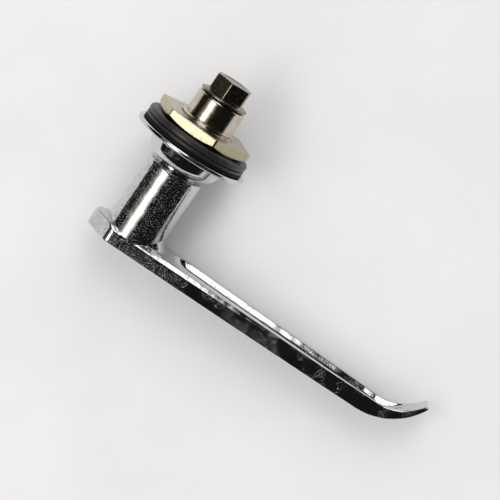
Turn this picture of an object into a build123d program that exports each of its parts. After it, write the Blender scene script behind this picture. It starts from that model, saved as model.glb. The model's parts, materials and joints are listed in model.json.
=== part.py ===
"""Quarter-turn lever handle for a sheet-metal door, with its threaded bushing and panel nut.

Frame, in millimetres: the spindle axis is Y, with +Y pointing through the door to its inside.
The door's outer face is the plane y = 0. The lever points along +X at rest, and +Z is up.
"""
import os
from math import cos, radians, sin, sqrt

from build123d import *

# ---- driving dimensions -------------------------------------------------------------------
INCH = 25.4

# lever and barrel, one casting
BARREL_R = 8.45
BARREL_TOP = -8.75
BARREL_CHAMFER = 0.5
NECK_R = 6.2
NECK_END = -3.85
LEVER_FACE, FACE_RISE = -29.7, 0.48
LEVER_BACK, BACK_RISE = -34.8, 0.85
HEAD_END_X = -12.3
HEAD_END_HALF = 1.6
HEAD_CORNER_X = -5.0
HEAD_HALF = 8.6
BEND_HALF = 6.0
TIP_HALF = 4.5
INNER_BEND_X, INNER_BEND_R, INNER_BEND_ANGLE = 80.5, 14.55, 58.0
OUTER_BEND_X, OUTER_BEND_R, OUTER_BEND_ANGLE = 77.0, 18.6, 66.2
LEVER_BEVEL = 1.3
HEAD_END_FILLET = 1.0
TIP_FILLET = 1.6
HOLLOW_FROM, HOLLOW_DEPTH, HOLLOW_RIM = 13.5, 2.3, 2.3
HOLLOW_BEND_X, HOLLOW_BEND_ANGLE = 77.3, 75.0
HOLLOW_CORNER, HOLLOW_FLOOR_FILLET = 4.0, 2.0
ROOT_FLARE = 3.0
ROOT_FLARE_HALF = 6.6
BARREL_SINK = 2.0
CUT = 1.0

# escutcheon
FLANGE_R = 16.8
FLANGE_FACE = -0.9
FLANGE_BACK = -2.2
FLANGE_DISH = 0.3
BOSS_ROOT_R, BOSS_ROOT = 11.4, -2.9
BOSS_ROOT_FILLET = 0.6
BOSS_R, BOSS_SHOULDER = 10.75, -5.0
DOME_R, DOME_Y = 9.75, -6.75
BOSS_END_R, BOSS_END = 7.2, -7.9
NECK_BORE_R = 6.25

# threaded bushing, 5/8-18
THREAD_PITCH = INCH / 18
THREAD_MAJOR_R = 5 / 8 * INCH / 2
THREAD_MINOR_R = 7.15
THREAD_CRESTS = 5
THREAD_START = 0.1
THREAD_CREST_R = THREAD_MAJOR_R - 0.03
CREST_FROM, CREST_TO = 0.45, 0.55
UNDERCUT = 0.4
NOSE_R = 7.15
NOSE_END = 13.7
NOSE_CHAMFER = 0.4
COLLAR_R = 9.4
COLLAR_FACE = -3.2
COLLAR_BACK = -1.7
WEB_BACK = -2.0
BUSH_BORE_R = 5.5
NOSE_RECESS = 9.8
NOSE_RECESS_R = 6.1

# rotation stop: a lug on the bushing's collar in a notch of the lever's neck
LUG_CENTRE = -90.0
LUG_HALF = 12.0
LUG_R, LUG_BORE_R = 6.15, 4.95
LUG_TOP = -5.2
NOTCH_DEPTH = -5.4
TURN = 90.0
STOP_GAP = 0.6

# bearings, washers and rings inside the bushing
SPINDLE_R = 4.5
BUSH_R = 4.55
BUSH_LENGTH = 5.0
BUSH_GAP = 0.05
RING_CLEARANCE = 0.1
THRUST_T = 0.6
SPRING_T, SPRING_HEIGHT, SPRING_HOLE_R = 0.25, 0.68, 4.7
RETAINER_FACE, RETAINER_T = 10.5, 0.4
RING_T, RING_GROOVE_R, RING_R, RING_GAP = 0.8, 4.0, 5.2, 40.0
O_RING_Y, O_RING_SECTION_R, O_RING_GROOVE_R, O_RING_GROOVE = -6.5, 0.47, 5.25, 1.2
O_RING_GAP = 0.02

# spindle
SPINDLE_END = 13.6
SPINDLE_ROOT = -26.0
SPINDLE_FLAT, SPINDLE_FLAT_END = 3.8, -14.0
TAP_R = 3.0
TAP_END = -4.0
CAM_SLOT, CAM_SLOT_DEPTH = 3.0, 1.8

# clamping stack on the thread
SEAL_R = 15.5
SEAL_HOLE_R = 8.1
GASKET_HOLE_R = THREAD_MAJOR_R + 0.06
GASKET_EDGE_R = 0.2
INNER_SEAL_T = 1.0
SEAL_EDGE_R = 0.3
WASHER_T = 1.9
WASHER_EDGE_R = 0.7
NUT_FLATS = INCH
NUT_T = 3.2
NUT_TURN = 8.0
NUT_BORE_R = THREAD_MAJOR_R + 0.05
NUT_CHAMFER_R = 12.2
NUT_CHAMFER_SLOPE = 0.5
NUT_SINK = 0.35

# M6 flange bolt that clamps a cam on the spindle
BOLT_SEAT = 14.1
BOLT_LENGTH = 16.0
BOLT_FLANGE_R = 7.1
BOLT_RIM = 0.5
BOLT_CONE_END = 15.3
BOLT_CONE_R = 5.3
BOLT_FLATS = 10.0
BOLT_TURN = 30.0
BOLT_HEAD_END = 19.9
BOLT_CROWN_R = 4.7
BOLT_CROWN_DROP = 2.15
BOLT_RIM_R = 0.2
BOLT_POINT = 0.6


def at_y(y):
    """Plane across the spindle axis at height y: its local x and y are the part's X and Z."""
    return Plane.XZ.offset(-y)


def wedge(start, end, radius=12.0, spans=4):
    """Pie-slice outline about the axis, between two angles measured from +X towards +Z."""
    steps = [start + (end - start) * i / spans for i in range(spans + 1)]
    rim = [(radius * cos(radians(a)), radius * sin(radians(a))) for a in steps]
    Polyline((0, 0), *rim, close=True)


def ring(inner, outer, low, high):
    """Plain washer between two radii and two heights."""
    with BuildPart() as washer:
        with BuildSketch(at_y(low)):
            Circle(outer)
            Circle(inner, mode=Mode.SUBTRACT)
        extrude(amount=low - high)
    return washer.part


def save(part, label):
    part.label = label
    export_step(part, f"parts/{label}.step")


os.makedirs("parts", exist_ok=True)

# ---- lever handle: bar, hooked tip, barrel and neck ----------------------------------------
with BuildPart() as lever_bar:
    with BuildSketch(Plane.XY):
        with BuildLine():
            face = Line((HEAD_END_X, LEVER_FACE), (INNER_BEND_X, LEVER_FACE + FACE_RISE))
            inner = JernArc(face @ 1, face % 1, INNER_BEND_R, INNER_BEND_ANGLE)
            back = Line((HEAD_END_X, LEVER_BACK), (OUTER_BEND_X, LEVER_BACK + BACK_RISE))
            outer = JernArc(back @ 1, back % 1, OUTER_BEND_R, OUTER_BEND_ANGLE)
            Line(inner @ 1, outer @ 1)
            Line(face @ 0, back @ 0)
        make_face()
    extrude(amount=HEAD_HALF + CUT, both=True)
    tip_x = (outer @ 1).X
    bar_depth = (inner @ 1).Y - LEVER_BACK
    with BuildSketch(at_y(LEVER_BACK - CUT)) as plan:
        with BuildLine():
            Polyline(
                (HEAD_END_X, -HEAD_END_HALF),
                (HEAD_CORNER_X, -HEAD_HALF),
                (OUTER_BEND_X, -BEND_HALF),
                (tip_x, -TIP_HALF),
                (tip_x, TIP_HALF),
                (OUTER_BEND_X, BEND_HALF),
                (HEAD_CORNER_X, HEAD_HALF),
                (HEAD_END_X, HEAD_END_HALF),
                close=True,
            )
        make_face()
        fillet(plan.vertices().group_by(Axis.X)[0], radius=HEAD_END_FILLET)
        fillet(plan.vertices().group_by(Axis.X)[-1], radius=TIP_FILLET)
    extrude(amount=-(bar_depth + 2 * CUT), mode=Mode.INTERSECT)
    long_edges = lever_bar.edges().filter_by(
        lambda e: abs(e.center().Z) > TIP_HALF
        and HEAD_CORNER_X < e.center().X < INNER_BEND_X
        and e.length > OUTER_BEND_R
    )
    chamfer(long_edges.sort_by(Axis.Y)[-2:], length=LEVER_BEVEL)

# scooped hollow along the bar's door side, which runs out in the bend
with BuildPart() as lever_hollow:
    with BuildSketch(Plane.XY):
        with BuildLine():
            floor_start = (HOLLOW_FROM, LEVER_FACE - HOLLOW_DEPTH)
            floor = Line(floor_start, (HOLLOW_BEND_X, LEVER_FACE + FACE_RISE - HOLLOW_DEPTH))
            rise = JernArc(floor @ 1, floor % 1, INNER_BEND_R, HOLLOW_BEND_ANGLE)
            Polyline(rise @ 1, (HOLLOW_FROM, (rise @ 1).Y), floor_start)
        make_face()
    extrude(amount=HEAD_HALF, both=True)
    with BuildSketch(at_y(LEVER_BACK)) as mouth:
        with BuildLine():
            Polyline(
                (HOLLOW_FROM, HEAD_HALF - HOLLOW_RIM),
                (HOLLOW_FROM, HOLLOW_RIM - HEAD_HALF),
                (OUTER_BEND_X, HOLLOW_RIM - BEND_HALF),
                (tip_x, HOLLOW_RIM - TIP_HALF),
                (tip_x, TIP_HALF - HOLLOW_RIM),
                (OUTER_BEND_X, BEND_HALF - HOLLOW_RIM),
                close=True,
            )
        make_face()
        fillet(mouth.vertices().group_by(Axis.X)[0], radius=HOLLOW_CORNER)
    extrude(amount=-(LEVER_FACE - LEVER_BACK + OUTER_BEND_R), mode=Mode.INTERSECT)
    floor_faces = lever_hollow.faces().filter_by(lambda f: f.normal_at().Y < -sin(radians(45)))
    fillet(floor_faces.edges().filter_by(lambda e: e.center().Y < LEVER_FACE - 1), radius=HOLLOW_FLOOR_FILLET)

# flared root that runs the barrel into the bar, on the lever's side only
with BuildPart() as root_flare:
    flare_r = BARREL_R + ROOT_FLARE
    with BuildSketch(Plane.XY):
        with BuildLine():
            RadiusArc((BARREL_R, LEVER_FACE + ROOT_FLARE), (flare_r, LEVER_FACE), -ROOT_FLARE)
            Polyline(
                (flare_r, LEVER_FACE),
                (flare_r, LEVER_FACE - CUT),
                (0, LEVER_FACE - CUT),
                (0, LEVER_FACE + ROOT_FLARE),
                (BARREL_R, LEVER_FACE + ROOT_FLARE),
            )
        make_face()
    revolve(axis=Axis.Y)
    with BuildSketch(at_y(LEVER_FACE - CUT)):
        with Locations((flare_r, 0)):
            Rectangle(2 * flare_r, 2 * ROOT_FLARE_HALF)
    extrude(amount=-(ROOT_FLARE + CUT), mode=Mode.INTERSECT)

with BuildPart() as lever_handle:
    add(lever_bar.part)
    add(lever_hollow.part, mode=Mode.SUBTRACT)
    with BuildSketch(at_y(LEVER_FACE - BARREL_SINK)):
        Circle(BARREL_R)
    extrude(amount=-(BARREL_TOP - LEVER_FACE + BARREL_SINK))
    chamfer(lever_handle.faces().sort_by(Axis.Y)[-1].edges(), length=BARREL_CHAMFER)
    with BuildSketch(at_y(BARREL_TOP)):
        Circle(NECK_R)
    extrude(amount=-(NECK_END - BARREL_TOP))
    add(root_flare.part)
    # blind bore for the spindle, with its flat
    with BuildSketch(at_y(SPINDLE_ROOT)):
        Circle(SPINDLE_R)
    extrude(amount=-(NECK_END - SPINDLE_ROOT), mode=Mode.SUBTRACT)
    with BuildSketch(at_y(SPINDLE_ROOT)):
        Circle(SPINDLE_R)
        with Locations((0, SPINDLE_FLAT - 2 * SPINDLE_R)):
            Rectangle(4 * SPINDLE_R, 4 * SPINDLE_R, mode=Mode.SUBTRACT)
    extrude(amount=-(SPINDLE_FLAT_END - SPINDLE_ROOT))
    # seal groove and stop notch in the neck
    with BuildSketch(at_y(O_RING_Y - O_RING_GROOVE / 2)):
        Circle(NECK_R + CUT)
        Circle(O_RING_GROOVE_R, mode=Mode.SUBTRACT)
    extrude(amount=-O_RING_GROOVE, mode=Mode.SUBTRACT)
    with BuildSketch(at_y(NOTCH_DEPTH)):
        with BuildLine():
            wedge(LUG_CENTRE - LUG_HALF - STOP_GAP, LUG_CENTRE + LUG_HALF + TURN + STOP_GAP)
        make_face()
    extrude(amount=-(NECK_END - NOTCH_DEPTH), mode=Mode.SUBTRACT)
save(lever_handle.part, "lever_handle")

# ---- drive spindle: flat at its root, snap-ring groove, cam slot and tapped hole at its end --
with BuildPart() as drive_spindle:
    with BuildSketch(at_y(SPINDLE_ROOT)):
        Circle(SPINDLE_R)
    extrude(amount=-(SPINDLE_END - SPINDLE_ROOT))
    with BuildSketch(at_y(SPINDLE_ROOT)):
        with Locations((0, SPINDLE_FLAT + SPINDLE_R)):
            Rectangle(4 * SPINDLE_R, 2 * SPINDLE_R)
    extrude(amount=-(SPINDLE_FLAT_END - SPINDLE_ROOT), mode=Mode.SUBTRACT)
    with BuildSketch(at_y(TAP_END)):
        Circle(TAP_R)
    extrude(amount=-(SPINDLE_END - TAP_END), mode=Mode.SUBTRACT)
    with BuildSketch(at_y(RETAINER_FACE + RETAINER_T)):
        Circle(SPINDLE_R + CUT)
        Circle(RING_GROOVE_R, mode=Mode.SUBTRACT)
    extrude(amount=-RING_T, mode=Mode.SUBTRACT)
    with BuildSketch(at_y(SPINDLE_END - CAM_SLOT_DEPTH)):
        Rectangle(4 * SPINDLE_R, CAM_SLOT)
    extrude(amount=-CAM_SLOT_DEPTH, mode=Mode.SUBTRACT)
save(drive_spindle.part, "drive_spindle")

# ---- rings that turn with the spindle --------------------------------------------------------
with BuildPart() as neck_o_ring:
    with BuildSketch(Plane.XY):
        with Locations((NECK_BORE_R - O_RING_SECTION_R - O_RING_GAP, O_RING_Y)):
            Circle(O_RING_SECTION_R)
    revolve(axis=Axis.Y)
save(neck_o_ring.part, "neck_o_ring")

with BuildPart() as retainer_washer:
    add(ring(SPINDLE_R, NOSE_RECESS_R - RING_CLEARANCE, RETAINER_FACE, RETAINER_FACE + RETAINER_T))
save(retainer_washer.part, "retainer_washer")

with BuildPart() as snap_ring:
    ring_low = RETAINER_FACE + RETAINER_T
    add(ring(RING_GROOVE_R, RING_R, ring_low, ring_low + RING_T))
    with BuildSketch(at_y(ring_low)):
        with BuildLine():
            wedge(90 - RING_GAP / 2, 90 + RING_GAP / 2)
        make_face()
    extrude(amount=-RING_T, mode=Mode.SUBTRACT)
save(snap_ring.part, "snap_ring")

# ---- cam bolt ----------------------------------------------------------------------------------
with BuildPart() as cam_bolt:
    with BuildSketch(at_y(BOLT_CONE_END)):
        RegularPolygon(BOLT_FLATS / 2, 6, major_radius=False, rotation=BOLT_TURN)
    extrude(amount=-(BOLT_HEAD_END - BOLT_CONE_END))
    with BuildSketch(Plane.XY):
        with BuildLine():
            Polyline(
                (0, BOLT_SEAT),
                (2 * BOLT_FLANGE_R, BOLT_SEAT),
                (2 * BOLT_FLANGE_R, BOLT_HEAD_END - BOLT_CROWN_DROP),
                (BOLT_CROWN_R, BOLT_HEAD_END),
                (0, BOLT_HEAD_END),
                close=True,
            )
        make_face()
    revolve(axis=Axis.Y, mode=Mode.INTERSECT)
    with BuildSketch(Plane.XY):
        with BuildLine():
            Polyline(
                (0, BOLT_SEAT - BOLT_LENGTH),
                (TAP_R - BOLT_POINT, BOLT_SEAT - BOLT_LENGTH),
                (TAP_R, BOLT_SEAT - BOLT_LENGTH + BOLT_POINT),
                (TAP_R, BOLT_SEAT),
                (BOLT_FLANGE_R, BOLT_SEAT),
                (BOLT_FLANGE_R, BOLT_SEAT + BOLT_RIM),
                (BOLT_CONE_R, BOLT_CONE_END),
                (0, BOLT_CONE_END),
                close=True,
            )
        make_face()
    revolve(axis=Axis.Y)
    fillet(cam_bolt.edges().filter_by(GeomType.CIRCLE).group_by(SortBy.RADIUS)[-1], radius=BOLT_RIM_R)
save(cam_bolt.part, "cam_bolt")

# ---- escutcheon: round flange and domed boss, cast around the bushing's collar ----------------
with BuildPart() as escutcheon:
    rim_r = (FLANGE_FACE - FLANGE_BACK) / 2
    with BuildSketch(Plane.XY):
        with BuildLine():
            Line((THREAD_MAJOR_R, FLANGE_FACE), (FLANGE_R - rim_r, FLANGE_FACE))
            RadiusArc((FLANGE_R - rim_r, FLANGE_FACE), (FLANGE_R - rim_r, FLANGE_BACK), rim_r)
            Polyline(
                (FLANGE_R - rim_r, FLANGE_BACK),
                (BOSS_ROOT_R + BOSS_ROOT_FILLET, FLANGE_BACK - FLANGE_DISH),
                (BOSS_ROOT_R, BOSS_ROOT),
                (BOSS_R, BOSS_SHOULDER),
            )
            ThreePointArc((BOSS_R, BOSS_SHOULDER), (DOME_R, DOME_Y), (BOSS_END_R, BOSS_END))
            Polyline(
                (BOSS_END_R, BOSS_END),
                (NECK_BORE_R, BOSS_END),
                (NECK_BORE_R, COLLAR_FACE),
                (COLLAR_R, COLLAR_FACE),
                (COLLAR_R, COLLAR_BACK),
                (THREAD_MAJOR_R, COLLAR_BACK),
                (THREAD_MAJOR_R, FLANGE_FACE),
            )
        make_face()
    revolve(axis=Axis.Y)
save(escutcheon.part, "escutcheon")

# ---- threaded bushing: collar with the stop lug, thread, smooth nose --------------------------
with BuildPart() as threaded_bushing:
    crests = []
    for i in range(THREAD_CRESTS):
        low = THREAD_START + i * THREAD_PITCH
        crests += [
            (THREAD_MINOR_R, low),
            (THREAD_CREST_R, low + CREST_FROM * THREAD_PITCH),
            (THREAD_CREST_R, low + CREST_TO * THREAD_PITCH),
        ]
    thread_end = THREAD_START + THREAD_CRESTS * THREAD_PITCH
    with BuildSketch(Plane.XY):
        with BuildLine():
            Polyline(
                (BUSH_R + BUSH_GAP, COLLAR_FACE),
                (COLLAR_R, COLLAR_FACE),
                (COLLAR_R, COLLAR_BACK),
                (THREAD_MAJOR_R, COLLAR_BACK),
                (THREAD_MAJOR_R, FLANGE_FACE + UNDERCUT),
                (THREAD_MINOR_R, FLANGE_FACE + 2 * UNDERCUT),
                *crests,
                (NOSE_R, thread_end),
                (NOSE_R, NOSE_END - NOSE_CHAMFER),
                (NOSE_R - NOSE_CHAMFER, NOSE_END),
                (NOSE_RECESS_R, NOSE_END),
                (NOSE_RECESS_R, NOSE_RECESS),
                (BUSH_BORE_R, NOSE_RECESS),
                (BUSH_BORE_R, WEB_BACK),
                (BUSH_R + BUSH_GAP, WEB_BACK),
                close=True,
            )
        make_face()
    revolve(axis=Axis.Y)
    with BuildSketch(at_y(COLLAR_FACE)):
        with BuildLine():
            wedge(LUG_CENTRE - LUG_HALF, LUG_CENTRE + LUG_HALF)
        make_face()
        Circle(LUG_R, mode=Mode.INTERSECT)
        Circle(LUG_BORE_R, mode=Mode.SUBTRACT)
    extrude(amount=COLLAR_FACE - LUG_TOP)
save(threaded_bushing.part, "threaded_bushing")

# ---- bearings and washers that stay with the bushing -------------------------------------------
for label, low in (("outer_bush", WEB_BACK), ("inner_bush", NOSE_RECESS - BUSH_LENGTH)):
    with BuildPart() as bush:
        add(ring(BUSH_R, BUSH_BORE_R, low, low + BUSH_LENGTH))
    save(bush.part, label)

with BuildPart() as thrust_washer:
    add(ring(BUSH_R + BUSH_GAP, NECK_BORE_R - BUSH_GAP, COLLAR_FACE - THRUST_T, COLLAR_FACE))
    with BuildSketch(at_y(COLLAR_FACE - THRUST_T)):
        with BuildLine():
            wedge(LUG_CENTRE - LUG_HALF - STOP_GAP, LUG_CENTRE + LUG_HALF + STOP_GAP)
        make_face()
    extrude(amount=-THRUST_T, mode=Mode.SUBTRACT)
save(thrust_washer.part, "thrust_washer")

with BuildPart() as spring_washer:
    spring_half = NOSE_RECESS_R - RING_CLEARANCE
    spring_rise = SPRING_HEIGHT - SPRING_T
    with BuildSketch(Plane.XY):
        with BuildLine():
            low_arc = ThreePointArc(
                (-spring_half, NOSE_RECESS), (0, NOSE_RECESS + spring_rise), (spring_half, NOSE_RECESS)
            )
            high_arc = ThreePointArc(
                (-spring_half, NOSE_RECESS + SPRING_T),
                (0, NOSE_RECESS + SPRING_HEIGHT),
                (spring_half, NOSE_RECESS + SPRING_T),
            )
            Line(low_arc @ 0, high_arc @ 0)
            Line(low_arc @ 1, high_arc @ 1)
        make_face()
    extrude(amount=NOSE_RECESS_R, both=True)
    with BuildSketch(at_y(NOSE_RECESS - CUT)):
        Circle(spring_half)
        Circle(SPRING_HOLE_R, mode=Mode.SUBTRACT)
    extrude(amount=-(SPRING_HEIGHT + 2 * CUT), mode=Mode.INTERSECT)
save(spring_washer.part, "spring_washer")

# ---- clamping stack: gasket under the flange, seal, washer and nut inside the door --------------
with BuildPart() as outer_gasket:
    add(ring(GASKET_HOLE_R, SEAL_R, FLANGE_FACE, 0))
    fillet(outer_gasket.edges().group_by(SortBy.LENGTH)[-1], radius=GASKET_EDGE_R)
save(outer_gasket.part, "outer_gasket")

with BuildPart() as inner_seal:
    add(ring(SEAL_HOLE_R, SEAL_R, 0, INNER_SEAL_T))
    fillet(inner_seal.edges().group_by(SortBy.LENGTH)[-1], radius=SEAL_EDGE_R)
save(inner_seal.part, "inner_seal")

nut_low = INNER_SEAL_T + WASHER_T
with BuildPart() as clamp_washer:
    add(ring(SEAL_HOLE_R, SEAL_R, INNER_SEAL_T, nut_low))
    fillet(clamp_washer.edges().group_by(SortBy.LENGTH)[-1], radius=WASHER_EDGE_R)
save(clamp_washer.part, "clamp_washer")

with BuildPart() as panel_nut:
    with BuildSketch(at_y(nut_low)):
        RegularPolygon(NUT_FLATS / 2, 6, major_radius=False, rotation=NUT_TURN)
    extrude(amount=-NUT_T)
    corner_r = NUT_FLATS / sqrt(3) + CUT
    chamfer_top = nut_low + (corner_r - NUT_CHAMFER_R) * NUT_CHAMFER_SLOPE
    with BuildSketch(Plane.XY):
        with BuildLine():
            Polyline(
                (NUT_BORE_R, nut_low),
                (NUT_CHAMFER_R, nut_low),
                (corner_r, chamfer_top),
                (corner_r, nut_low + NUT_T),
                (NUT_BORE_R + NUT_SINK, nut_low + NUT_T),
                (NUT_BORE_R, nut_low + NUT_T - NUT_SINK),
                close=True,
            )
        make_face()
    revolve(axis=Axis.Y, mode=Mode.INTERSECT)
save(panel_nut.part, "panel_nut")
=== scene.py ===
"""Looks of the quarter-turn door lever handle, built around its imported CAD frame.

The spindle axis is Y, with +Y pointing through the door, and the lever points along +X. The handle
lies on pale paper, on its flange's rim and the lever's lower edge. Shape code is in millimetres.
"""
import json
import math

import bpy
import numpy as np
from mathutils import Matrix, Vector


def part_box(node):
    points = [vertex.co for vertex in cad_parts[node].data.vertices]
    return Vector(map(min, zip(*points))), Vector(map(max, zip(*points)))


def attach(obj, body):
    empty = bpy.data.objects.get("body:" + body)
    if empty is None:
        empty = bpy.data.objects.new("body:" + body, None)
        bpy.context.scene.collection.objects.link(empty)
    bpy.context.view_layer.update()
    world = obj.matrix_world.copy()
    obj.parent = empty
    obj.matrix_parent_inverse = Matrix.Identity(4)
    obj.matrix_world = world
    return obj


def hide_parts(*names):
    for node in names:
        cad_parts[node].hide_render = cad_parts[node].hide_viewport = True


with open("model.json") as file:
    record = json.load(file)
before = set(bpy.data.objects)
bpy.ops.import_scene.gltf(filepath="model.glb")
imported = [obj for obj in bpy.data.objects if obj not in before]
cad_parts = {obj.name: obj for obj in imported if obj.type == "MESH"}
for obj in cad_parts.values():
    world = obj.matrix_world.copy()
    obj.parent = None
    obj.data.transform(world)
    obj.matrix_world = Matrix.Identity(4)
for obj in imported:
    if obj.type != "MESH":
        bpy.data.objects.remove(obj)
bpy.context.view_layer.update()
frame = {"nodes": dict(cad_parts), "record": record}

MM = 0.001


def box_mm(node):
    """Lowest and highest corner of a CAD node, in millimetres."""
    low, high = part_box(node)
    return np.array(low) / MM, np.array(high) / MM


# ---- sizes: outer faces from the frame, the rest from the design --------------------------------
LEVER_LOW, LEVER_HIGH = box_mm("lever_handle")
FLANGE_LOW, FLANGE_HIGH = box_mm("escutcheon")
BUSHING_END = box_mm("threaded_bushing")[1][1]
NUT_LOW, NUT_HIGH = box_mm("panel_nut")
BOLT_LOW, BOLT_HIGH = box_mm("cam_bolt")

LEVER_THICKNESS = 5.1
LEVER_BACK = LEVER_LOW[1]
LEVER_FACE = LEVER_BACK + LEVER_THICKNESS
FACE_RISE, BACK_RISE = 0.48, 0.85
LEVER_BEVEL = 1.3
HEAD_END = np.array((LEVER_LOW[0], 1.6))
HEAD_CORNER = np.array((-5.0, LEVER_HIGH[2]))
BEND_CORNER = np.array((77.0, 6.0))
TIP_CORNER = np.array((LEVER_HIGH[0], 4.5))
INNER_BEND_X, INNER_BEND_R = 80.5, 14.55
OUTER_BEND_X, OUTER_BEND_R = 77.0, 18.6
TIP_MIDDLE, TIP_ANGLE = np.array((93.35, -22.51)), math.radians(70.4)
HOLLOW_FROM, HOLLOW_TO, HOLLOW_DEPTH, HOLLOW_RIM = 12.5, 90.0, 2.3, 2.2
HOLLOW_WALL_RUN, HOLLOW_TIP_RUN = 0.84, 3.0
HOLLOW_END_R, HOLLOW_FLOOR_R, HOLLOW_FADE_R, HOLLOW_EDGE_R = 3.0, 1.2, 0.5, 0.25
OUTLINE_R, HEAD_CORNER_R, HEAD_END_R, TIP_END_R = 4.0, 0.7, 1.0, 0.45
BEVEL_EDGE_R, SIDE_EDGE_R, BACK_EDGE_R = 0.35, 0.3, 0.4
BARREL_R, BARREL_TOP, BARREL_CHAMFER = 8.45, -8.75, 0.5
BARREL_EDGE_R, BARREL_CHAMFER_R, BARREL_SINK = 0.1, 0.3, 2.0
ROOT_FLARE, ROOT_R, ROOT_HALF, ROOT_FADE_FROM, ROOT_FULL_X = 3.0, 0.15, 7.0, 3.5, 5.0
NECK_R, NECK_END, NECK_EDGE_R = 6.2, LEVER_HIGH[1], 0.2
OVERLAP = 1.0
SPINDLE_R, SPINDLE_ROOT = 4.5, -26.0
O_RING_Y, O_RING_GROOVE_R, O_RING_GROOVE = -6.5, 5.25, 1.2
NOTCH_TOP, NOTCH_FROM, NOTCH_TO = -5.4, math.radians(-102.6), math.radians(12.6)

FLANGE_R = FLANGE_HIGH[0]
FLANGE_FACE, FLANGE_BACK = -0.9, -2.2
FLANGE_RIM_R, SHARP_R, FIT = 0.62, 0.05, 0.01
BOSS_R, BOSS_ROOT, BOSS_ROOT_R = 11.6, -2.28, 0.7
DOME_CORNER, DOME_R = 9.98, 3.85
BOSS_END, BOSS_BORE_R, BOSS_MOUTH_R = FLANGE_LOW[1], 6.25, 0.12
COLLAR_R, COLLAR_FACE, COLLAR_BACK = 9.4, -3.2, -1.7

THREAD_PITCH = 25.4 / 18
THREAD_MAJOR_R, THREAD_MINOR_R = 7.9375, 7.15
THREAD_START, THREAD_TURNS = 0.1, 5
THREAD_END = THREAD_START + THREAD_TURNS * THREAD_PITCH
THREAD_ROUNDNESS, THREAD_FADE, CREST_FLAT = 1.9, 0.5, 0.02
NOSE_R, NOSE_CHAMFER, NOSE_EDGE_R, NOSE_CHAMFER_R, COLLAR_EDGE_R = 7.15, 0.4, 0.05, 0.15, 0.1
NOSE_RECESS, NOSE_RECESS_R, BUSH_BORE_R = 9.8, 6.1, 5.5

GASKET_HOLE_R, SEAL_HOLE_R, HOLE_EDGE_R = THREAD_MAJOR_R + 0.06, 8.1, 0.1
NUT_FLATS, NUT_TURN = 25.4, math.radians(38)
NUT_BORE_R, NUT_CHAMFER_R, NUT_SINK = 7.9875, 12.2, 0.35
NUT_CHAMFER_SLOPE, NUT_CHAMFER_EDGE_R = 0.5, 0.15
NUT_CORNER_R, NUT_EDGE_R, NUT_BORE_EDGE_R = 0.35, 0.2, 0.08
BOLT_FLATS, BOLT_TURN = 10.0, math.radians(0)
BOLT_SEAT, BOLT_RIM, BOLT_FLANGE_R = 14.1, 0.5, 7.1
BOLT_CONE_END, BOLT_CONE_R, BOLT_CROWN_R, BOLT_SHANK_R = 15.3, 5.3, 4.7, 3.0
BOLT_CROWN_SLOPE, BOLT_CORNER_R, BOLT_CROWN_EDGE_R, BOLT_HEAD_EDGE_R = 0.226, 0.3, 0.15, 0.2
BOLT_DISH, BOLT_DISH_FROM, BOLT_DISH_TO = 0.25, 3.0, 3.9
BOLT_RIM_EDGE_R, BOLT_CONE_EDGE_R, BOLT_ROOT_R, BOLT_POINT_R, BOLT_OVERLAP = 0.15, 0.2, 0.25, 0.5, 0.1

NEWTON_STEPS, MARGIN_CELLS = 4, 1.5


# ---- mesh tools ------------------------------------------------------------------------------
def add_piece(name, points, faces, normals, node, slot, material):
    """Smooth mesh from points in millimetres, which stands for a CAD node and rides on its body."""
    mesh = bpy.data.meshes.new(name)
    mesh.from_pydata((np.asarray(points) * MM).tolist(), [], faces)
    mesh.validate()
    mesh.shade_smooth()
    mesh.normals_split_custom_set_from_vertices(np.asarray(normals).tolist())
    mesh.materials.append(material)
    piece = bpy.data.objects.new(name, mesh)
    bpy.context.scene.collection.objects.link(piece)
    body = next(b for b, nodes in frame["record"]["behaviour"]["bodies"].items() if node in nodes)
    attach(piece, body)
    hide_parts(node)
    return piece


def rounded(corners, steps=8):
    """Closed outline through corners (a, b, radius), each one an arc: its points and outward normals."""
    spots = np.array([c[:2] for c in corners], float)
    area = sum(np.cross(spots[i - 1], spots[i]) for i in range(len(spots)))
    if area < 0:
        corners = corners[::-1]
        spots = spots[::-1]
    points, normals = [], []
    for i, here in enumerate(spots):
        radius = corners[i][2]
        back = spots[i - 1] - here
        ahead = spots[(i + 1) % len(spots)] - here
        back /= np.linalg.norm(back)
        ahead /= np.linalg.norm(ahead)
        half = math.acos(np.clip(back @ ahead, -1, 1)) / 2
        centre = here + (back + ahead) / np.linalg.norm(back + ahead) * radius / math.sin(half)
        start = here + back * radius / math.tan(half) - centre
        end = here + ahead * radius / math.tan(half) - centre
        sweep = math.pi - 2 * half
        outward = np.sign(start @ np.array((-back[1], back[0])))
        for k in range(steps + 1):
            t = k / steps
            arm = (math.sin((1 - t) * sweep) * start + math.sin(t * sweep) * end) / math.sin(sweep)
            points.append(centre + arm)
            normals.append(outward * arm / radius)
    return np.array(points), np.array(normals)


def turned(corners, segments=256):
    """Ring turned about the spindle axis from a closed outline of (radius, y, rounding) corners."""
    outline, slopes = rounded(corners)
    angle = np.linspace(0, 2 * math.pi, segments, endpoint=False)[:, None]

    def spin(pairs):
        reach, rise = pairs.T
        rise = np.broadcast_to(rise, (segments, len(pairs)))
        return np.stack((np.cos(angle) * reach, rise, np.sin(angle) * reach), -1).reshape(-1, 3)

    count = len(outline)
    faces = []
    for i in range(segments):
        here, after = i * count, (i + 1) % segments * count
        for j in range(count):
            k = (j + 1) % count
            faces.append((here + j, here + k, after + k, after + j))
    return spin(outline), faces, spin(slopes)


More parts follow.
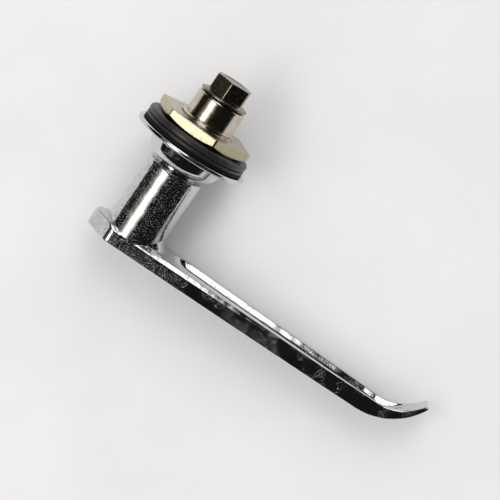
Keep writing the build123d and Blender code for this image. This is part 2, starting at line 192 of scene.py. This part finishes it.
def skin(field, low, high, step):
    """Quads over the surface where field is zero, on a grid of that step, pulled onto the surface."""
    margin = MARGIN_CELLS * step
    axes = [np.arange(a - margin, b + margin + step, step) for a, b in zip(low, high)]
    value = field(*np.meshgrid(*axes, indexing="ij"))
    inside = value < 0
    cells = np.array(value.shape) - 1
    total = np.zeros((*cells, 3))
    count = np.zeros(cells)
    rings = []
    for d in range(3):
        e, f = (d + 1) % 3, (d + 2) % 3
        near = tuple(slice(None, -1) if k == d else slice(None) for k in range(3))
        far = tuple(slice(1, None) if k == d else slice(None) for k in range(3))
        crossing = inside[near] != inside[far]
        nodes = np.argwhere(crossing)
        spots = nodes.astype(float)
        spots[:, d] += value[near][crossing] / (value[near][crossing] - value[far][crossing])
        ring = []
        for back_e, back_f in ((1, 1), (0, 1), (0, 0), (1, 0)):
            cell = nodes.copy()
            cell[:, e] -= back_e
            cell[:, f] -= back_f
            flat = np.ravel_multi_index(cell.T, cells)
            for k in range(3):
                total[..., k] += np.bincount(flat, spots[:, k], count.size).reshape(cells)
            count += np.bincount(flat, minlength=count.size).reshape(cells)
            ring.append(flat)
        ring = np.stack(ring, -1)
        leaving = inside[near][crossing]
        rings.append(np.where(leaving[:, None], ring, ring[:, ::-1]))
    used = count.ravel() > 0
    index = np.cumsum(used) - 1
    points = total.reshape(-1, 3)[used] / count.ravel()[used, None] * step + [a[0] for a in axes]
    for _ in range(NEWTON_STEPS):
        slope = gradient(field, points)
        points -= field(*points.T)[:, None] * slope / (slope**2).sum(-1, keepdims=True)
    normals = gradient(field, points)
    normals /= np.linalg.norm(normals, axis=-1, keepdims=True)
    return points, index[np.concatenate(rings)].tolist(), normals


def gradient(field, points, reach=0.01):
    """Slope of a field at some points."""
    steps = np.eye(3) * reach
    return np.stack([field(*(points + s).T) - field(*(points - s).T) for s in steps], -1) / (2 * reach)


def both(a, b, radius):
    """Where two solids meet in common, with the edge between them rounded."""
    corner = np.hypot(np.maximum(a + radius, 0), np.maximum(b + radius, 0))
    return np.minimum(np.maximum(a, b), -radius) + corner


def either(a, b, radius):
    """Two solids joined, with a fillet between them."""
    corner = np.hypot(np.maximum(radius - a, 0), np.maximum(radius - b, 0))
    return np.maximum(np.minimum(a, b), radius) - corner


def smooth(value, start, end):
    """Smooth rise from 0 at start to 1 at end."""
    t = np.clip((value - start) / (end - start), 0, 1)
    return t * t * (3 - 2 * t)


def beyond(x, half, first, second):
    """Distance outside the straight line through two corners of the lever's outline."""
    run = (second - first) / np.linalg.norm(second - first)
    return (half - first[1]) * run[0] - (x - first[0]) * run[1]


def hexagon(x, z, flats, turn, edge):
    """Distance outside a hexagon about the spindle axis, with rounded corners."""
    shape = -flats
    for k in range(3):
        angle = turn + k * math.pi / 3
        shape = both(shape, np.abs(np.cos(angle) * x + np.sin(angle) * z) - flats / 2, edge)
    return shape


# ---- shapes ------------------------------------------------------------------------------------
def lever_bar(x, y, z):
    """Flat bar with a pointed head, two bevels and a hollow on its door side, and a hooked tip."""
    face_slope = FACE_RISE / (INNER_BEND_X - HEAD_END[0])
    back_slope = BACK_RISE / (OUTER_BEND_X - HEAD_END[0])
    face_line = LEVER_FACE + face_slope * (x - HEAD_END[0])
    back_line = LEVER_BACK + back_slope * (x - HEAD_END[0])
    inner_middle = (INNER_BEND_X - face_slope * INNER_BEND_R, LEVER_FACE + FACE_RISE + INNER_BEND_R)
    outer_middle = (OUTER_BEND_X - back_slope * OUTER_BEND_R, LEVER_BACK + BACK_RISE + OUTER_BEND_R)
    inner = np.hypot(x - inner_middle[0], y - inner_middle[1])
    outer = np.hypot(x - outer_middle[0], y - outer_middle[1])
    face = np.where(x > inner_middle[0], INNER_BEND_R - inner, y - face_line)
    back = np.where(x > outer_middle[0], outer - OUTER_BEND_R, back_line - y)
    end = (x - TIP_MIDDLE[0]) * math.cos(TIP_ANGLE) + (y - TIP_MIDDLE[1]) * math.sin(TIP_ANGLE)
    half = np.abs(z)
    head = beyond(x, half, HEAD_END, HEAD_CORNER)
    shank = beyond(x, half, HEAD_CORNER, BEND_CORNER)
    tip = beyond(x, half, BEND_CORNER, TIP_CORNER)
    side = np.maximum(shank, tip)
    sides = both(both(shank, tip, OUTLINE_R), head, HEAD_CORNER_R)
    bevel = (face + side + LEVER_BEVEL) / math.sqrt(2)
    top = both(face, bevel, BEVEL_EDGE_R)
    bar = both(both(top, sides, SIDE_EDGE_R), back, BACK_EDGE_R)
    bar = both(bar, HEAD_END[0] - x, HEAD_END_R)
    wall = (side + HOLLOW_RIM - HOLLOW_WALL_RUN * face) / math.hypot(HOLLOW_WALL_RUN, 1)
    near_head = (HOLLOW_FROM - x - HOLLOW_WALL_RUN * face) / math.hypot(HOLLOW_WALL_RUN, 1)
    near_tip = (x - HOLLOW_TO - HOLLOW_TIP_RUN * face) / math.hypot(HOLLOW_TIP_RUN, 1)
    scoop = both(both(wall, near_head, HOLLOW_END_R), -HOLLOW_DEPTH - face, HOLLOW_FLOOR_R)
    bar = both(bar, -both(scoop, near_tip, HOLLOW_FADE_R), HOLLOW_EDGE_R)
    return both(bar, end, TIP_END_R)


def lever(x, y, z):
    """The whole casting, with its spindle bore, seal groove and stop notch."""
    around = np.hypot(x, z)
    half = np.abs(z)
    wall = around - BARREL_R
    top = y - BARREL_TOP
    barrel = both(wall, top, BARREL_EDGE_R)
    barrel = both(barrel, (wall + top + BARREL_CHAMFER) / math.sqrt(2), BARREL_CHAMFER_R)
    barrel = np.maximum(barrel, LEVER_FACE - BARREL_SINK - y)
    spread = smooth(x, 0, ROOT_FULL_X) * (1 - smooth(half, ROOT_FADE_FROM, ROOT_HALF))
    flare = either(y - LEVER_FACE, barrel, ROOT_R + (ROOT_FLARE - ROOT_R) * spread)
    for limit in (LEVER_FACE - OVERLAP - y, half - ROOT_HALF, -x, wall - ROOT_FLARE - OVERLAP):
        flare = np.maximum(flare, limit)
    casting = np.minimum(either(lever_bar(x, y, z), barrel, ROOT_R), flare)
    neck = both(around - NECK_R, y - NECK_END, NECK_EDGE_R)
    groove = np.maximum(np.abs(y - O_RING_Y) - O_RING_GROOVE / 2, O_RING_GROOVE_R - around)
    turn = np.arctan2(z, x)
    notch = np.maximum(NOTCH_TOP - y, around * np.maximum(NOTCH_FROM - turn, turn - NOTCH_TO))
    neck = np.maximum(np.maximum(neck, -groove), -notch)
    casting = np.minimum(casting, np.maximum(neck, BARREL_TOP - OVERLAP - y))
    return np.maximum(casting, -np.maximum(around - SPINDLE_R, SPINDLE_ROOT - y))


def bushing(x, y, z):
    """Collar, helical thread and smooth nose."""
    around = np.hypot(x, z)
    phase = y / THREAD_PITCH - np.arctan2(z, x) / (2 * math.pi)
    wave = 1 - 4 * np.abs(phase - np.round(phase))
    height = (1 + np.tanh(THREAD_ROUNDNESS * wave) / math.tanh(THREAD_ROUNDNESS)) / 2
    height *= 1 - smooth(y, THREAD_END - THREAD_FADE, THREAD_END)
    outside = around - THREAD_MINOR_R - (THREAD_MAJOR_R - CREST_FLAT - THREAD_MINOR_R) * height
    end = y - BUSHING_END
    lead = (around - NOSE_R + end + NOSE_CHAMFER) / math.sqrt(2)
    stem = np.maximum(both(both(outside, end, NOSE_EDGE_R), lead, NOSE_CHAMFER_R), COLLAR_FACE - y)
    collar = both(around - COLLAR_R, np.maximum(COLLAR_FACE - y, y - COLLAR_BACK), COLLAR_EDGE_R)
    bore = np.minimum(around - BUSH_BORE_R, np.maximum(around - NOSE_RECESS_R, NOSE_RECESS - y))
    return np.maximum(np.minimum(stem, collar), -bore)


def nut(x, y, z):
    """Thin hexagon nut, chamfered on its washer side and countersunk on its open side."""
    around = np.hypot(x, z)
    slab = both(NUT_LOW[1] - y, y - NUT_HIGH[1], NUT_EDGE_R)
    cone = NUT_CHAMFER_SLOPE * (around - NUT_CHAMFER_R) - (y - NUT_LOW[1])
    cone /= math.hypot(NUT_CHAMFER_SLOPE, 1)
    body = both(hexagon(x, z, NUT_FLATS, NUT_TURN, NUT_CORNER_R), slab, NUT_EDGE_R)
    body = both(body, cone, NUT_CHAMFER_EDGE_R)
    sink = (NUT_BORE_R + NUT_SINK - around + (y - NUT_HIGH[1])) / math.sqrt(2)
    return both(both(body, NUT_BORE_R - around, NUT_BORE_EDGE_R), sink, NUT_BORE_EDGE_R)


def bolt(x, y, z):
    """Flange bolt: hexagon with a low crown, coned flange and plain shank."""
    around = np.hypot(x, z)
    crown = (around - BOLT_CROWN_R) * BOLT_CROWN_SLOPE + (y - BOLT_HIGH[1])
    crown /= math.hypot(BOLT_CROWN_SLOPE, 1)
    dish = y - BOLT_HIGH[1] + BOLT_DISH * (1 - smooth(around, BOLT_DISH_FROM, BOLT_DISH_TO))
    head = hexagon(x, z, BOLT_FLATS, BOLT_TURN, BOLT_CORNER_R)
    head = both(head, both(crown, dish, BOLT_CROWN_EDGE_R), BOLT_HEAD_EDGE_R)
    fall = (BOLT_CONE_END - BOLT_SEAT - BOLT_RIM) / (BOLT_FLANGE_R - BOLT_CONE_R)
    cone = (y - BOLT_CONE_END + (around - BOLT_CONE_R) * fall) / math.hypot(fall, 1)
    flange = both(around - BOLT_FLANGE_R, BOLT_SEAT - y, BOLT_RIM_EDGE_R)
    flange = both(flange, cone, BOLT_CONE_EDGE_R)
    flange = np.maximum(flange, y - BOLT_CONE_END - BOLT_OVERLAP)
    head = either(np.maximum(head, BOLT_SEAT - y), flange, BOLT_ROOT_R)
    shank = both(around - BOLT_SHANK_R, BOLT_LOW[1] - y, BOLT_POINT_R)
    return np.minimum(head, np.maximum(shank, y - BOLT_SEAT - BOLT_RIM))


# ---- material tools ----------------------------------------------------------------------------
class Look:
    """One material, with short calls for the nodes that every finish here is made of."""

    def __init__(self, name, **settings):
        self.material = bpy.data.materials.new(name)
        self.material.use_nodes = True
        self.nodes = self.material.node_tree.nodes
        self.shader = self.nodes["Principled BSDF"]
        for socket, value in settings.items():
            self.shader.inputs[socket.replace("_", " ")].default_value = value
        coordinates = self.nodes.new("ShaderNodeTexCoord")
        self.place = self.nodes.new("ShaderNodeVectorMath")
        self.place.operation = "SCALE"
        self.place.inputs["Scale"].default_value = 1 / MM
        self.join(coordinates.outputs["Object"], self.place.inputs[0])

    def join(self, source, target):
        self.material.node_tree.links.new(source, target)

    def stretched(self, x, y, z):
        """The piece's own millimetres, scaled along each axis."""
        node = self.nodes.new("ShaderNodeVectorMath")
        node.operation = "MULTIPLY"
        node.inputs[1].default_value = (x, y, z)
        self.join(self.place.outputs[0], node.inputs[0])
        return node.outputs[0]

    def noise(self, scale, detail=3.0, rough=0.5, where=None):
        node = self.nodes.new("ShaderNodeTexNoise")
        node.inputs["Scale"].default_value = scale
        node.inputs["Detail"].default_value = detail
        node.inputs["Roughness"].default_value = rough
        self.join(where or self.place.outputs[0], node.inputs["Vector"])
        return node.outputs["Fac"]

    def along(self, axis):
        """Position along one axis, in millimetres."""
        node = self.nodes.new("ShaderNodeSeparateXYZ")
        self.join(self.place.outputs[0], node.inputs[0])
        return node.outputs[axis]

    def levels(self, source, low, high, out_low=0.0, out_high=1.0):
        """Source from low to high, spread over another range."""
        node = self.nodes.new("ShaderNodeMapRange")
        node.interpolation_type = "SMOOTHSTEP"
        limits = {"From Min": low, "From Max": high, "To Min": out_low, "To Max": out_high}
        for socket, value in limits.items():
            node.inputs[socket].default_value = value
        self.join(source, node.inputs["Value"])
        return node.outputs["Result"]

    def math(self, operation, a, b):
        node = self.nodes.new("ShaderNodeMath")
        node.operation = operation
        for value, socket in ((a, node.inputs[0]), (b, node.inputs[1])):
            if isinstance(value, (int, float)):
                socket.default_value = value
            else:
                self.join(value, socket)
        return node.outputs[0]

    def blend(self, amount, first, second):
        """Colour that goes from first to second with amount."""
        node = self.nodes.new("ShaderNodeMix")
        node.data_type = "RGBA"
        self.join(amount, node.inputs["Factor"])
        for value, socket in ((first, node.inputs[6]), (second, node.inputs[7])):
            if isinstance(value, tuple):
                socket.default_value = (*value, 1)
            else:
                self.join(value, socket)
        return node.outputs[2]

    def bumps(self, *layers):
        """Height layers of (height, depth in millimetres), each with its own bump node."""
        normal = None
        for height, depth in layers:
            node = self.nodes.new("ShaderNodeBump")
            node.inputs["Distance"].default_value = depth * MM
            self.join(height, node.inputs["Height"])
            if normal:
                self.join(normal, node.inputs["Normal"])
            normal = node.outputs["Normal"]
        self.join(normal, self.shader.inputs["Normal"])

    def set(self, socket, source):
        self.join(source, self.shader.inputs[socket])


PITS_END_X, PITS_FULL_X = 26, -8


def chrome(name, pitted):
    """Bright chrome over a die casting: faint waviness, smears, and more pits near the head."""
    look = Look(name, Metallic=1.0)
    pits = look.levels(look.noise(2.4, 4.0, 0.75), 0.57, 0.66)
    patches = look.levels(look.noise(0.16, 2.0), 0.45, 0.62)
    if pitted:
        near_head = look.levels(look.along("X"), PITS_END_X, PITS_FULL_X)
        patches = look.math("MAXIMUM", patches, near_head)
    pits = look.math("MULTIPLY", pits, patches)
    smears = look.levels(look.noise(0.35, 5.0, 0.6), 0.35, 0.75, 0.05, 0.16)
    look.set("Base Color", look.blend(pits, (0.66, 0.66, 0.67), (0.10, 0.10, 0.09)))
    look.set("Roughness", look.math("ADD", smears, look.math("MULTIPLY", pits, 0.3)))
    look.bumps(
        (look.noise(0.22, 1.0), 0.10),
        (look.noise(2.0, 2.0), 0.010 if pitted else 0.005),
        (pits, -0.03),
    )
    return look.material


def turned_metal(name, colour, second, roughness, grooves):
    """Plated metal turned on a lathe: fine rings across the axis, stains and small scratches."""
    look = Look(name, Metallic=1.0)
    rings = look.noise(1.0, 2.0, 0.6, look.stretched(0.15, 9.0, 0.15))
    stains = look.levels(look.noise(0.5, 4.0, 0.6), 0.35, 0.7)
    look.set("Base Color", look.blend(stains, colour, second))
    look.set("Roughness", look.levels(look.noise(1.3, 4.0), 0.3, 0.8, roughness, roughness + 0.14))
    look.bumps((look.noise(0.6, 1.0), 0.02), (rings, grooves))
    return look.material


def zinc(name, colours, roughness, grain):
    """Chromated zinc: colour drifting between three tints, soft grain and scuffs."""
    look = Look(name, Metallic=1.0)
    drift = look.levels(look.noise(0.18, 3.0, 0.55), 0.38, 0.62)
    mottle = look.levels(look.noise(0.9, 5.0, 0.65), 0.42, 0.72)
    tint = look.blend(drift, colours[0], colours[1])
    look.set("Base Color", look.blend(mottle, tint, colours[2]))
    look.set("Roughness", look.levels(look.noise(2.5, 4.0), 0.3, 0.75, roughness, roughness + 0.15))
    look.bumps((look.noise(0.5, 2.0), 0.03), (look.noise(7.0, 3.0), grain))
    return look.material


def rubber(name, colour, dust, roughness, shine):
    """Moulded rubber: faint bloom, dust specks and an uneven skin."""
    look = Look(name, Specular_IOR_Level=shine)
    bloom = look.levels(look.noise(0.7, 4.0, 0.6), 0.4, 0.75)
    specks = look.levels(look.noise(6.0, 2.0, 0.6), 0.66, 0.72)
    base = look.blend(bloom, colour, tuple(1.7 * c for c in colour))
    look.set("Base Color", look.blend(specks, base, dust))
    look.set("Roughness", look.levels(look.noise(1.1, 3.0), 0.3, 0.7, roughness, roughness + 0.18))
    look.bumps((look.noise(0.8, 3.0), 0.06), (look.noise(9.0, 2.0), 0.012))
    return look.material


def acetal(name):
    """Natural acetal: waxy off-white with a slight mould texture."""
    look = Look(name, Subsurface_Weight=0.15, Subsurface_Scale=0.001)
    tone = look.levels(look.noise(0.8, 3.0), 0.35, 0.7)
    look.set("Base Color", look.blend(tone, (0.72, 0.70, 0.64), (0.80, 0.78, 0.72)))
    look.set("Roughness", look.levels(look.noise(3.0, 3.0), 0.3, 0.7, 0.35, 0.5))
    look.bumps((look.noise(5.0, 2.0), 0.01),)
    return look.material


YELLOW_TINTS = (0.50, 0.46, 0.32), (0.52, 0.44, 0.34), (0.42, 0.42, 0.24)
OLIVE_TINTS = (0.27, 0.26, 0.17), (0.20, 0.22, 0.17), (0.33, 0.27, 0.19)

finishes = {
    "lever_chrome": chrome("lever_chrome", True),
    "flange_chrome": chrome("flange_chrome", False),
    "nickel_plate": turned_metal("nickel_plate", (0.62, 0.57, 0.49), (0.50, 0.43, 0.34), 0.10, 0.012),
    "zinc_steel": turned_metal("zinc_steel", (0.55, 0.56, 0.58), (0.42, 0.43, 0.45), 0.22, 0.010),
    "spring_steel": turned_metal("spring_steel", (0.22, 0.22, 0.24), (0.14, 0.13, 0.12), 0.28, 0.008),
    "bronze": turned_metal("bronze", (0.55, 0.36, 0.18), (0.38, 0.24, 0.12), 0.35, 0.015),
    "yellow_zinc": zinc("yellow_zinc", YELLOW_TINTS, 0.22, 0.006),
    "olive_zinc": zinc("olive_zinc", OLIVE_TINTS, 0.20, 0.008),
    "black_rubber": rubber("black_rubber", (0.004, 0.004, 0.004), (0.04, 0.04, 0.04), 0.5, 0.15),
    "grey_rubber": rubber("grey_rubber", (0.014, 0.015, 0.015), (0.12, 0.12, 0.11), 0.30, 0.5),
    "acetal": acetal("acetal"),
}

# ---- pieces --------------------------------------------------------------------------------------
for name, field, node, step, slot, finish in (
    ("chrome_lever", lever, "lever_handle", 0.3, "bright_chrome", "lever_chrome"),
    ("bushing_turned", bushing, "threaded_bushing", 0.16, "nickel_plate", "nickel_plate"),
    ("nut_hexagon", nut, "panel_nut", 0.16, "yellow_zinc", "yellow_zinc"),
    ("bolt_hexagon", bolt, "cam_bolt", 0.13, "olive_zinc", "olive_zinc"),
):
    add_piece(name, *skin(field, *box_mm(node), step), node, slot, finishes[finish])

flange_outline = [
    (THREAD_MAJOR_R + FIT, FLANGE_FACE, SHARP_R),
    (FLANGE_R, FLANGE_FACE, FLANGE_RIM_R),
    (FLANGE_R, FLANGE_BACK, FLANGE_RIM_R),
    (BOSS_R, BOSS_ROOT, BOSS_ROOT_R),
    (DOME_CORNER, BOSS_END, DOME_R),
    (BOSS_BORE_R, BOSS_END, BOSS_MOUTH_R),
    (BOSS_BORE_R, COLLAR_FACE, SHARP_R),
    (COLLAR_R, COLLAR_FACE, SHARP_R),
    (COLLAR_R, COLLAR_BACK, SHARP_R),
    (THREAD_MAJOR_R + FIT, COLLAR_BACK, SHARP_R),
]
flange = turned(flange_outline)
add_piece("flange_dome", *flange, "escutcheon", "bright_chrome", finishes["flange_chrome"])


def washer_outline(low, high, inner, edge):
    """Ring between a node's faces, out to its rim, with rounded outer edges."""
    rim = high[0]
    outside = [(rim, low[1], edge), (rim, high[1], edge)]
    return [(inner, low[1], HOLE_EDGE_R), *outside, (inner, high[1], HOLE_EDGE_R)]


for name, node, hole, edge, slot in (
    ("gasket_ring", "outer_gasket", GASKET_HOLE_R, 0.25, "black_rubber"),
    ("seal_ring", "inner_seal", SEAL_HOLE_R, 0.4, "grey_rubber"),
    ("washer_ring", "clamp_washer", SEAL_HOLE_R, 0.75, "grey_rubber"),
):
    washer = turned(washer_outline(*box_mm(node), hole, edge))
    add_piece(name, *washer, node, slot, finishes[slot])

for node, slot in (
    ("drive_spindle", "zinc_steel"),
    ("neck_o_ring", "black_rubber"),
    ("retainer_washer", "zinc_steel"),
    ("snap_ring", "spring_steel"),
    ("outer_bush", "bronze"),
    ("inner_bush", "bronze"),
    ("thrust_washer", "acetal"),
    ("spring_washer", "spring_steel"),
):
    kept = frame["nodes"][node]
    kept.data.materials.clear()
    kept.data.materials.append(finishes[slot])

# ---- paper it lies on ------------------------------------------------------------------------------
PAPER_GAP = 0.02
rest_head = Vector((HEAD_CORNER[0], LEVER_BACK, -HEAD_CORNER[1]))
rest_bend = Vector((BEND_CORNER[0], LEVER_BACK + BACK_RISE, -BEND_CORNER[1]))
rim_y = (FLANGE_FACE + FLANGE_BACK) / 2
edge_line = (rest_bend - rest_head).normalized()
lift = Vector((-edge_line.z, 0, edge_line.x))
tilt = math.atan((FLANGE_R + lift.dot(Vector((rest_head.x, 0, rest_head.z)))) / (rim_y - LEVER_BACK))
paper_up = (lift * math.cos(tilt) + Vector((0, 1, 0)) * math.sin(tilt)).normalized()
paper_point = rest_head - paper_up * PAPER_GAP


def paper_finish():
    """Pale matte paper, seen from above only, so that it hides nothing from a low view."""
    look = Look("paper", Specular_IOR_Level=0.2)
    tone = look.levels(look.noise(0.02, 4.0, 0.6), 0.3, 0.7)
    look.set("Base Color", look.blend(tone, (0.79, 0.79, 0.80), (0.83, 0.83, 0.84)))
    look.set("Roughness", look.levels(look.noise(0.5, 3.0), 0.3, 0.7, 0.6, 0.75))
    look.bumps((look.noise(2.5, 4.0), 0.02),)
    side = look.nodes.new("ShaderNodeNewGeometry")
    clear = look.nodes.new("ShaderNodeBsdfTransparent")
    mixed = look.nodes.new("ShaderNodeMixShader")
    look.join(side.outputs["Backfacing"], mixed.inputs[0])
    look.join(look.shader.outputs[0], mixed.inputs[1])
    look.join(clear.outputs[0], mixed.inputs[2])
    look.join(mixed.outputs[0], look.nodes["Material Output"].inputs["Surface"])
    return look.material


def paper(half=1.5):
    """Large flat sheet that passes through the handle's resting points."""
    middle = paper_point * MM
    first = edge_line * half
    second = paper_up.cross(edge_line) * half
    near, far = middle - second, middle + second
    corners = [near - first, near + first, far + first, far - first]
    mesh = bpy.data.meshes.new("paper")
    mesh.from_pydata([tuple(c) for c in corners], [], [(0, 1, 2, 3)])
    mesh.materials.append(paper_finish())
    sheet = bpy.data.objects.new("paper", mesh)
    bpy.context.scene.collection.objects.link(sheet)


paper()


# ---- light -----------------------------------------------------------------------------------------
LIGHT_MIDDLE = Vector((0, -20, 8)) * MM


def softbox(name, towards, distance, size, radiance, colour):
    """Rectangular lamp that faces the handle from the given direction, of a given brightness."""
    lamp = bpy.data.lights.new(name, "AREA")
    lamp.shape = "RECTANGLE"
    lamp.size, lamp.size_y = size
    lamp.energy = radiance * math.pi * size[0] * size[1]
    lamp.color = colour
    holder = bpy.data.objects.new(name, lamp)
    bpy.context.scene.collection.objects.link(holder)
    holder.visible_camera = False
    direction = Vector(towards).normalized()
    holder.location = LIGHT_MIDDLE + direction * distance
    holder.rotation_mode = "QUATERNION"
    holder.rotation_quaternion = direction.to_track_quat("Z", "Y")
    return holder


softbox("key", (-0.391, -0.212, 0.896), 1.2, (0.92, 0.36), 3.2, (1.0, 0.985, 0.96))
softbox("key_edge", (-0.391, -0.212, 0.896), 1.21, (1.0, 0.66), 0.6, (1.0, 0.96, 0.92))
softbox("key_surround", (-0.49, -0.20, 0.87), 1.5, (1.5, 1.3), 0.14, (1.0, 0.88, 0.72))
softbox("door_side", (-0.17, 0.86, 0.45), 1.2, (0.62, 1.2), 1.9, (0.97, 0.98, 1.0))


def room():
    """Pale surroundings for the camera, even light on matte things and a dark room in bright metal."""
    world = bpy.data.worlds.new("room")
    bpy.context.scene.world = world
    world.use_nodes = True
    nodes, links = world.node_tree.nodes, world.node_tree.links
    seen = nodes.new("ShaderNodeLightPath")
    dark = nodes["Background"]
    dark.inputs["Color"].default_value = (0.9, 0.85, 0.8, 1)
    dark.inputs["Strength"].default_value = 0.012
    last = dark
    for ray, colour, strength in (
        ("Is Diffuse Ray", (1.0, 0.985, 0.97, 1), 0.66),
        ("Is Camera Ray", (0.84, 0.84, 0.85, 1), 1.0),
    ):
        shade = nodes.new("ShaderNodeBackground")
        shade.inputs["Color"].default_value = colour
        shade.inputs["Strength"].default_value = strength
        mixed = nodes.new("ShaderNodeMixShader")
        links.new(seen.outputs[ray], mixed.inputs[0])
        links.new(last.outputs[0], mixed.inputs[1])
        links.new(shade.outputs[0], mixed.inputs[2])
        last = mixed
    links.new(last.outputs[0], nodes["World Output"].inputs["Surface"])


room()

# ---- camera: nearly straight down on the paper, rolled so that the lever runs down to the right ------
CAMERA_AIM = Vector((29.11, -17.89, -11.77)) * MM
CAMERA_BACK = Vector((-0.01184, 0.19841, 0.98005)).normalized()
CAMERA_DISTANCE = 0.4138
CAMERA_ROLL = math.radians(-35.04)
CAMERA_LENS = 105.86

camera_data = bpy.data.cameras.new("camera")
camera_data.lens = CAMERA_LENS
camera_data.sensor_width = 36.0
camera_data.clip_start = 0.01
camera = bpy.data.objects.new("camera", camera_data)
bpy.context.scene.collection.objects.link(camera)
bpy.context.scene.camera = camera
right = Vector((0, 1, 0)).cross(CAMERA_BACK).normalized()
up = CAMERA_BACK.cross(right)
turned_right = right * math.cos(CAMERA_ROLL) - up * math.sin(CAMERA_ROLL)
turned_up = CAMERA_BACK.cross(turned_right)
camera.matrix_world = Matrix.Translation(CAMERA_AIM + CAMERA_BACK * CAMERA_DISTANCE) @ Matrix(
    (turned_right, turned_up, CAMERA_BACK)
).transposed().to_4x4()

bpy.context.scene.view_settings.view_transform = "Standard"
